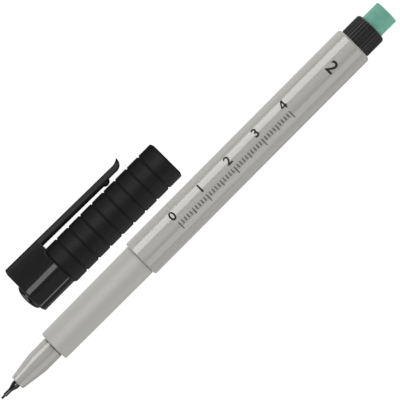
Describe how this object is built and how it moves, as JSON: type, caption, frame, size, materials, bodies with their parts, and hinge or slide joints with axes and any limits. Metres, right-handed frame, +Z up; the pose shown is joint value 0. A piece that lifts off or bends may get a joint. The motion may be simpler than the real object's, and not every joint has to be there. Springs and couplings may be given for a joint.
{
  "type": "non-permanent marker",
  "caption": "Slim fibre-tip marker for erasable writing, with a tapered nose, a plain barrel and an eraser at its tail, its grooved cap with a pocket clip lying beside it.",
  "frame": {"origin": "on the table, under the middle of the box round the marker and its cap", "axes": "+X along the marker from the nib to the eraser, +Y from the marker towards the cap lying beside it, +Z up"},
  "size_m": [0.14, 0.0284, 0.0115],
  "materials": {
    "grey_gloss": "smooth glossy light warm grey moulded plastic",
    "grey_satin": "satin light warm grey moulded plastic",
    "black_gloss": "smooth glossy black moulded plastic",
    "black_matt": "fine matt black moulded plastic",
    "eraser_rubber": "matt grey-green eraser compound",
    "nib": "extruded fibre stained by ink",
    "inked_fibre": "bundled polyester fibre soaked with ink",
    "clear_film": "thin smooth plastic film wrapped round the fibre"
  },
  "bodies": {
    "marker": {"barrel": "grey_gloss", "front_section": "grey_satin", "nose": "grey_gloss", "nib_holder": "black_gloss", "nib": "nib", "reservoir_wick": "inked_fibre", "reservoir_wrapper": "clear_film"},
    "tail": {"tail_plug": "black_matt", "eraser": "eraser_rubber"},
    "cap": {"cap_tube": "black_matt", "cap_housing": "black_gloss", "cap_liner": "black_gloss"},
    "clip": {"clip": "black_gloss"}
  },
  "joints": [
    {"name": "cap_slide", "type": "slide", "parent": "marker", "child": "cap", "axis": [-1, 0, 0], "range_m": [0, 0.08]},
    {"name": "clip_flex", "type": "hinge", "parent": "cap", "child": "clip", "pos_m": [-0.03465, 0.01236, 0.00574], "axis": [0, 0, 1], "range_deg": [0, 4], "stiffness_Nm_per_rad": 0.6},
    {"name": "tail_pull", "type": "slide", "parent": "marker", "child": "tail", "axis": [1, 0, 0], "range_m": [0, 0.012]}
  ]
}
